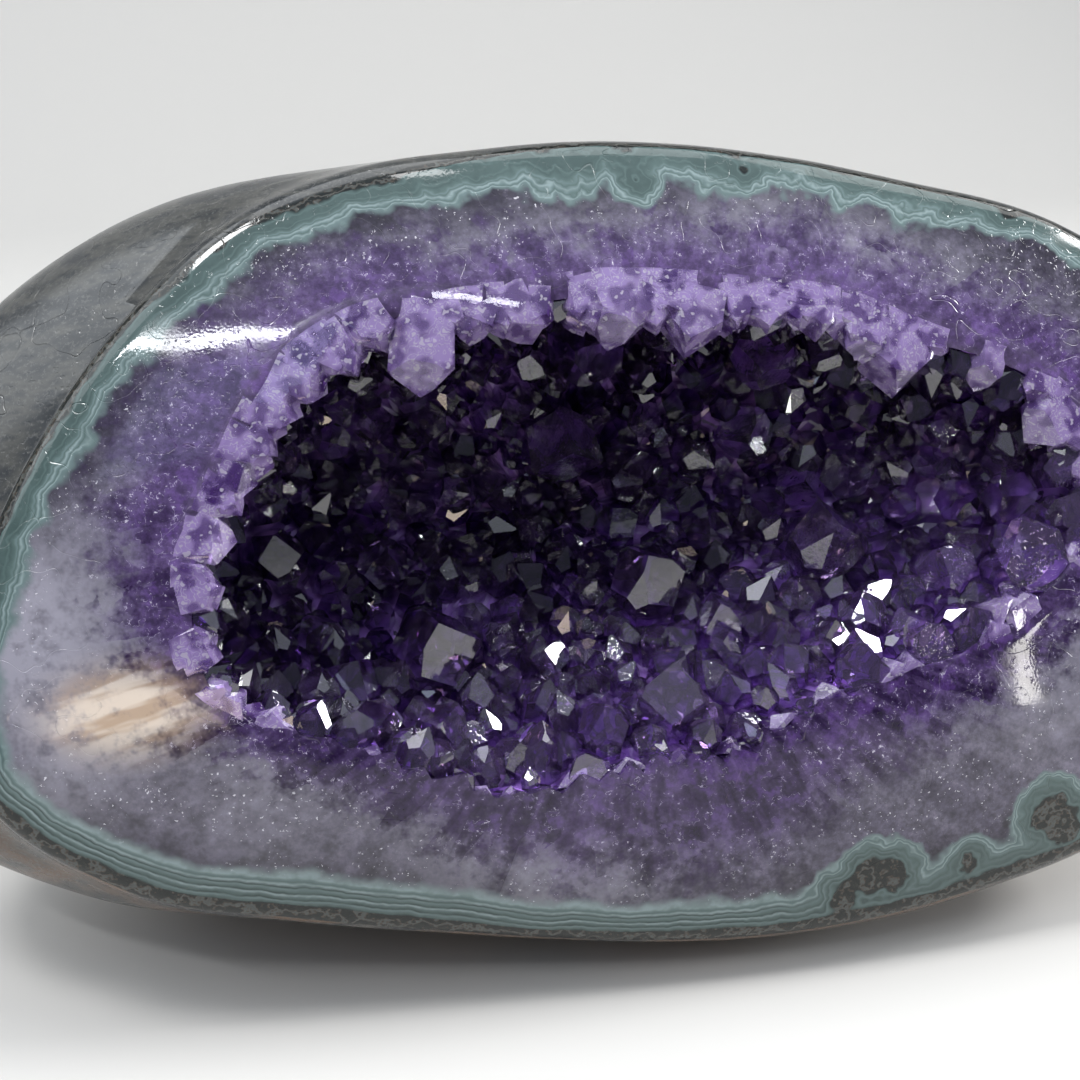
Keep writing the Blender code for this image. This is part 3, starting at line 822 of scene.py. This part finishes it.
def joined(name, pieces, rng, shading=None):
    """Crystals as one mesh in the world, each with its own tint, with normals from shading if given."""
    verts, faces, tints, normals = [], [], [], []
    for bm in pieces:
        start, tint = len(verts), rng.random()
        bm.verts.index_update()
        verts += [tuple(v.co) for v in bm.verts]
        faces += [[start + v.index for v in f.verts] for f in bm.faces]
        tints += [tint] * len(bm.verts)
        if shading:
            normals += [shading(face, vert) for face in bm.faces for vert in face.verts]
        bm.free()
    mesh = bpy.data.meshes.new(name)
    mesh.from_pydata(standing(np.array(verts)).tolist(), [], faces)
    add_values(mesh, "tint", tints)
    add_values(mesh, "face_place", np.array(verts) / MM)
    if shading:
        turn = Matrix.Rotation(math.pi / 2 - FACE_LEAN, 3, "X")
        mesh.polygons.foreach_set("use_smooth", [True] * len(faces))
        mesh.normals_split_custom_set([turn @ normal for normal in normals])
    return mesh


def crystal_material(name, deep, light, roughness, transmission, ground=False):
    """Clear violet quartz, each crystal its own shade, with clouds inside it and grown or ground faces; the
    hollow's crystals also get painted light, lighter towards the bottom right, and painted glints.
    """
    made, n, shader = new_material(
        name, roughness, Transmission_Weight=transmission, IOR=QUARTZ_IOR,
        Coat_Weight=0.2 if ground else 1.0, Coat_IOR=1.8, Coat_Roughness=0.01,
    )
    place, tint = n.attribute("face_place", "Vector"), n.attribute("tint")
    cloud = n.noise(place, 0.3, 1.0, 0.6)
    parts = n.node("ShaderNodeSeparateXYZ", {0: place}).outputs
    across = n.calc("MULTIPLY_ADD", parts["X"], -0.3, parts["Y"])
    # Painted light: the hollow's crystals lighter towards the bottom and right and darker at the top left,
    # as light falls from above.
    painted_light = n.between(across, 8, -32, -0.25, 0.5) if not ground else 0.0
    clouds = n.between(cloud, 0.36, 0.62) if ground else n.between(cloud, 0.28, 0.72)
    by_cloud, by_tint = (0.75, 0.4) if ground else (0.5, 0.55)
    tone = n.calc("MULTIPLY_ADD", clouds, by_cloud, n.calc("MULTIPLY_ADD", tint, by_tint, painted_light))
    colour = n.mixed(tone, deep, light)
    fine = n.noise(place, 0.8, 1.0, 0.7)
    split = n.calc("ABSOLUTE", n.minus(fine, 0.5))
    wide, low = (0.035, 0.44) if ground else (0.025, 0.48)
    veil = n.times(n.between(split, wide, 0.0), n.between(cloud, low, low + 0.1))
    # White veils are clouds inside the quartz. The white flecks are white fractures in the ground rim
    # crystals and painted glints on the hollow's crystals that also get the sugary bump.
    white = n.calc("MAXIMUM", veil, n.between(fine, 0.62, 0.67))
    white_share = 1.0 if ground else n.between(tint, 0.6, 0.72, 0.0, 0.6)
    white = n.times(white, white_share)
    colour = n.mixed(n.times(white, 0.75), colour, (0.86, 0.80, 0.95))
    n.put(colour, shader.inputs["Base Color"])
    if ground:
        marks = n.node("ShaderNodeGroup", {"Vector": place, "Pits": 0.2}, node_tree=polish_marks())
        height = marks.outputs["Height"]
    else:
        sugary = n.between(tint, 0.7, 0.8, 0.12, 1.5)
        height = n.times(fine, sugary)
    n.put(n.bump(height, 0.5, 0.3 * MM), shader.inputs["Normal"])
    return made


def bed_material():
    """The bed between and under the crystals: small facets that send light back through the crystals."""
    made, n, shader = new_material("amethyst_bed_look", 0.1, IOR=QUARTZ_IOR)
    cloud = n.noise(n.attribute("face_place", "Vector"), 0.12, 2.0, 0.6)
    colour = n.mixed(n.between(cloud, 0.4, 0.66), (0.05, 0.022, 0.11), (0.40, 0.21, 0.70))
    n.put(colour, shader.inputs["Base Color"])
    return made


def colour_value(name, description, default):
    return FloatVectorProperty(
        name=name, description=description, default=default, min=0, max=1, subtype="COLOR"
    )


def length_value(name, description, default):
    return FloatProperty(
        name=name, description=description, default=default, min=0, subtype="DISTANCE", unit="LENGTH"
    )


class GeodeStoneValues(bpy.types.PropertyGroup):
    rebate_depth: length_value("Rebate depth", "How far the face drops to the mouth", 0.9 * MM)
    rebate_width: length_value("Rebate width", "How wide the place of the rim's crystals is", 6 * MM)
    band_deep: colour_value("Deep green", "Darkest green of the agate bands", (0.026, 0.045, 0.043))
    band_mid: colour_value("Mid green", "Middle green of the agate bands", (0.082, 0.124, 0.120))
    band_light: colour_value("Light green", "Light green of the agate bands", (0.135, 0.19, 0.19))
    band_pale: colour_value("Pale green", "Palest green of the agate bands", (0.24, 0.31, 0.315))
    quartz_dark: colour_value("Dark quartz", "Quartz just inside the bands", (0.026, 0.022, 0.034))
    quartz_light: colour_value("Light quartz", "Quartz nearer the hollow", (0.100, 0.090, 0.126))
    quartz_milk: colour_value("Milky quartz", "Cloudy places of the quartz", (0.30, 0.29, 0.345))
    violet_deep: colour_value("Deep violet", "Darkest crystals round the mouth", (0.013, 0.003, 0.034))
    violet_light: colour_value("Light violet", "Lightest crystals round the mouth", (0.115, 0.07, 0.20))


class GeodeCrystalValues(bpy.types.PropertyGroup):
    fill_count: IntProperty(
        name="Small crystals", description="Most crystals between the larger ones",
        default=FILL_MOST, min=0,
    )
    root_run: length_value("Root run", "How far the rim's crystals run out under the face", 4.5 * MM)
    tooth_light: colour_value("Light rim", "Lightest crystals of the rim", (0.58, 0.42, 0.86))
    tooth_deep: colour_value("Deep rim", "Deepest crystals of the rim", (0.08, 0.022, 0.21))
    druse_light: colour_value("Light crystals", "Lightest crystals in the hollow", (0.58, 0.38, 0.88))
    druse_deep: colour_value("Deep crystals", "Deepest crystals in the hollow", (0.08, 0.032, 0.19))


class GeodeStageValues(bpy.types.PropertyGroup):
    camera_angle: FloatProperty(
        name="Camera angle", description="The camera's angle of view", default=math.radians(38),
        subtype="ANGLE", unit="ROTATION",
    )
    floor_colour: colour_value("Floor", "Colour of the floor and the wall behind", (0.60, 0.585, 0.56))


class GEODE_OT_stone(bpy.types.Operator):
    """Makes the polished stone with its banded face"""

    bl_idname = "geode.stone"
    bl_label = "Polished stone"

    def execute(self, context):
        values = context.scene.geode_stone
        stone = scene_object("polished_stone_look", stone_mesh(values))
        stone.data.materials.append(stone_material(values))
        show_piece(stone)
        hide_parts("polished_stone")
        return {"FINISHED"}


class GEODE_OT_bed(bpy.types.Operator):
    """Makes the bed that the crystals grow from"""

    bl_idname = "geode.bed"
    bl_label = "Crystal bed"

    def execute(self, context):
        theta = np.linspace(0, math.tau, BED_SEGMENTS, endpoint=False)
        rng = np.random.default_rng(FILL_SEED)
        rings = []
        for k in range(BED_RINGS):
            depth = BED_TOP + (HOLLOW_DEPTH - BED_TOP) * math.cos(math.pi / 2 * (k + 1) / BED_RINGS)
            lump = rng.uniform(-0.5, 0.5, len(theta)) * MM
            rings.append(standing(hollow_point(theta, depth, 0.1 * MM + lump)))
        rings.append(standing(hollow_point(theta, BED_TOP, BED_THICKNESS)))
        deepest = HOLLOW_DEPTH + BED_BACK
        for k in range(BED_SHELL_RINGS):
            depth = deepest * math.sin(math.pi / 2 * (k + 0.5) / BED_SHELL_RINGS)
            rings.append(standing(hollow_point(theta, depth, BED_THICKNESS)))
        ends = standing([hollow_point(0.0, HOLLOW_DEPTH), hollow_point(0.0, deepest, BED_BACK)])
        mesh = turned_mesh("crystal_bed", rings, ends)
        mesh.polygons.foreach_set("use_smooth", [False] * len(mesh.polygons))
        bed = scene_object("crystal_bed", mesh)
        places = np.array([vert.co[:] for vert in mesh.vertices])
        add_values(mesh, "face_place", places / MM)
        mesh.materials.append(bed_material())
        show_piece(bed)
        return {"FINISHED"}


class GEODE_OT_rim(bpy.types.Operator):
    """Makes the rim's crystals, ground and polished with the face"""

    bl_idname = "geode.rim"
    bl_label = "Rim crystals"

    def execute(self, context):
        values = context.scene.geode_crystals
        plans = rim_plans(random.Random(SCATTER_SEED))
        rng = random.Random(FILL_SEED)
        for k in range(EXTRA_TEETH):
            ends = (0, math.tau) if k < EXTRA_TEETH_ANYWHERE else (math.radians(-5), math.radians(200))
            theta = rng.uniform(*ends)
            lean = Vector((rng.uniform(-0.2, 0.2), rng.uniform(-0.2, 0.2), -0.1))
            inset, radius = rng.uniform(2.0, 6.5) * MM, rng.uniform(2.8, 5.4) * MM
            plans.append((theta, inset, radius, lean, end_setbacks(rng), rng.uniform(0, math.tau)))
        teeth = [self.tooth(plan, values.root_run) for plan in plans]
        mesh = joined("rim_crystals", teeth, rng, self.shading)
        rim = scene_object("rim_crystals", mesh)
        mesh.materials.append(crystal_material(
            "amethyst_rim_look", values.tooth_deep, values.tooth_light, 0.02, 0.6, ground=True
        ))
        show_piece(rim)
        return {"FINISHED"}

    def shading(self, face, vert):
        """The face's own normal, or the crowned cut face's where the crystal is ground with it."""
        flush = abs(vert.co.z - self.height(vert.co)) < 0.15 * MM and face.normal.z > 0.8
        return self.crown(vert.co) if flush else face.normal.copy()

    @staticmethod
    def height(co):
        return float(face_height(math.atan2(co.y, co.x), math.hypot(co.x, co.y)))

    @staticmethod
    def crown(co):
        return face_normal(math.atan2(co.y, co.x), math.hypot(co.x, co.y))

    def tooth(self, plan, root_run):
        """A rim crystal: built where the crowned face is flat, ground there and crowned again."""
        theta, inset, radius, lean, setbacks, roll = plan
        rim = rim_place(theta, radius)
        inward = hollow_normal(theta, 0) * Vector((1, 1, 0))
        inward.normalize()
        place = Vector((rim.x, rim.y, -0.5 * radius))
        share = float(around(RIM_SHARES, theta)) / MM
        root_run = root_run * share * (0.35 + 1.1 * roll / math.tau)
        bm = crystal(radius, inset * share + root_run + ROOT_DEPTH, setbacks, TOOTH_TAPER)
        axis = (inward + lean * 2).normalized()
        rooted(bm, place, inward, axis, roll, ROOT_DEPTH + root_run)
        cut_flush(bm, Vector((0, 0, (-0.04 - 1.5 * max(0, 0.6 - share)) * MM)), Vector((0, 0, 1)))
        fronts = [f for f in bm.faces if f.normal.z > 0.9]
        bmesh.ops.triangulate(bm, faces=fronts)
        for _ in range(2):
            edges = {e for f in bm.faces if f.normal.z > 0.99 for e in f.edges}
            bmesh.ops.subdivide_edges(bm, edges=list(edges), cuts=1, use_grid_fill=True)
        for vert in bm.verts:
            vert.co.z += self.height(vert.co)
        bm.normal_update()
        return bm


class GEODE_OT_druse(bpy.types.Operator):
    """Makes the crystals on the hollow's wall"""

    bl_idname = "geode.druse"
    bl_label = "Crystals of the hollow"

    def execute(self, context):
        values = context.scene.geode_crystals
        rng = random.Random(SCATTER_SEED)
        taken = [(rim_place(theta, radius), radius) for theta, _, radius, _, _, _ in rim_plans(rng)]
        plans = wall_plans(rng, taken)
        plans += fill_plans(taken, values.fill_count)
        mesh = joined("hollow_crystals", [wall_crystal(plan) for plan in plans], rng)
        druse = scene_object("hollow_crystals", mesh)
        mesh.materials.append(crystal_material(
            "amethyst_look", values.druse_deep, values.druse_light, 0.015, 0.95
        ))
        show_piece(druse)
        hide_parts("amethyst_crust")
        return {"FINISHED"}


class GEODE_OT_stage(bpy.types.Operator):
    """Makes the floor, the light and the camera"""

    bl_idname = "geode.stage"
    bl_label = "Floor, light and camera"

    def execute(self, context):
        values = context.scene.geode_stage
        self.floor(values)
        self.world(context.scene)
        self.lights()
        self.camera(context.scene, values)
        return {"FINISHED"}

    def floor(self, values):
        """A floor that curves up into a wall behind."""
        half, front, back, curve, top = 3.0, -3.0, 0.75, 0.5, 2.6
        profile = [(front, 0.0), (back, 0.0)]
        for turn in np.linspace(0, math.pi / 2, 17)[1:]:
            profile.append((back + curve * math.sin(turn), curve * (1 - math.cos(turn))))
        profile.append((back + curve, top))
        verts = [(x, y, z) for y, z in profile for x in (-half, half)]
        faces = [(2 * k, 2 * k + 1, 2 * k + 3, 2 * k + 2) for k in range(len(profile) - 1)]
        mesh = bpy.data.meshes.new("floor_and_wall")
        mesh.from_pydata(verts, [], faces)
        mesh.polygons.foreach_set("use_smooth", [True] * len(faces))
        mesh.materials.append(new_material("plain_floor", 0.6, Base_Color=(*values.floor_colour, 1))[0])
        scene_object("floor_and_wall", mesh)

    def world(self, scene):
        """Soft light from everywhere: brighter above and behind, dimmer in front."""
        world = bpy.data.worlds.new("studio")
        world.use_nodes = True
        n = Nodes(world.node_tree)
        background = world.node_tree.nodes["Background"]
        place = n.node("ShaderNodeTexCoord").outputs["Generated"]
        parts = n.node("ShaderNodeSeparateXYZ", {0: place})
        up = n.between(parts.outputs["Z"], 0.3, 0.97)
        behind = n.between(parts.outputs["Y"], -0.25, 0.35)
        amount = n.calc("MAXIMUM", up, behind)
        colour = n.mixed(amount, (0.09, 0.10, 0.125), (0.82, 0.90, 1.0))
        n.put(colour, background.inputs["Color"])
        background.inputs["Strength"].default_value = 0.95
        scene.view_settings.view_transform = "Standard"
        cycles = scene.cycles
        cycles.max_bounces, cycles.transmission_bounces = 5, 4
        cycles.diffuse_bounces, cycles.glossy_bounces = 2, 2
        scene.world = world

    def lights(self):
        for name, side, rise, distance, size, glow, colour in LIGHTS:
            away = way_to(side, rise)
            lamp = bpy.data.lights.new(name, "AREA")
            lamp.shape = "RECTANGLE"
            lamp.size, lamp.size_y = size
            lamp.energy = glow * math.pi * size[0] * size[1]
            lamp.color = colour
            made = scene_object(name, lamp)
            made.location = Vector(LIT_PLACE) + away * distance
            made.rotation_euler = away.to_track_quat("Z", "Y").to_euler()

    def camera(self, scene, values):
        lens = bpy.data.cameras.new("camera")
        lens.sensor_width = 36
        lens.angle = values.camera_angle
        made = scene_object("camera", lens)
        made.location = CAMERA_PLACE
        made.rotation_euler = way_to(*CAMERA_SIDE_AND_RISE).to_track_quat("Z", "Y").to_euler()
        scene.camera = made


class GEODE_PT_panel(bpy.types.Panel):
    """Lists the pieces of the geode and their values"""

    bl_label = "Amethyst geode"
    bl_space_type = "VIEW_3D"
    bl_region_type = "UI"
    bl_category = "Geode"

    def draw(self, context):
        for operator in OPERATORS:
            self.layout.operator(operator.bl_idname)
        for group in (context.scene.geode_stone, context.scene.geode_crystals, context.scene.geode_stage):
            for name in group.__annotations__:
                self.layout.prop(group, name)


OPERATORS = (GEODE_OT_stone, GEODE_OT_bed, GEODE_OT_rim, GEODE_OT_druse, GEODE_OT_stage)
GROUPS = {
    "geode_stone": GeodeStoneValues,
    "geode_crystals": GeodeCrystalValues,
    "geode_stage": GeodeStageValues,
}


def register():
    for name, group in GROUPS.items():
        bpy.utils.register_class(group)
        setattr(bpy.types.Scene, name, PointerProperty(type=group))
    for made in (*OPERATORS, GEODE_PT_panel):
        bpy.utils.register_class(made)


def unregister():
    for made in (GEODE_PT_panel, *reversed(OPERATORS)):
        bpy.utils.unregister_class(made)
    for name, group in GROUPS.items():
        delattr(bpy.types.Scene, name)
        bpy.utils.unregister_class(group)


def main():
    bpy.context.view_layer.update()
    register()
    bpy.ops.geode.stone()
    bpy.ops.geode.bed()
    bpy.ops.geode.rim()
    bpy.ops.geode.druse()
    bpy.ops.geode.stage()


if __name__ == "__main__":
    main()
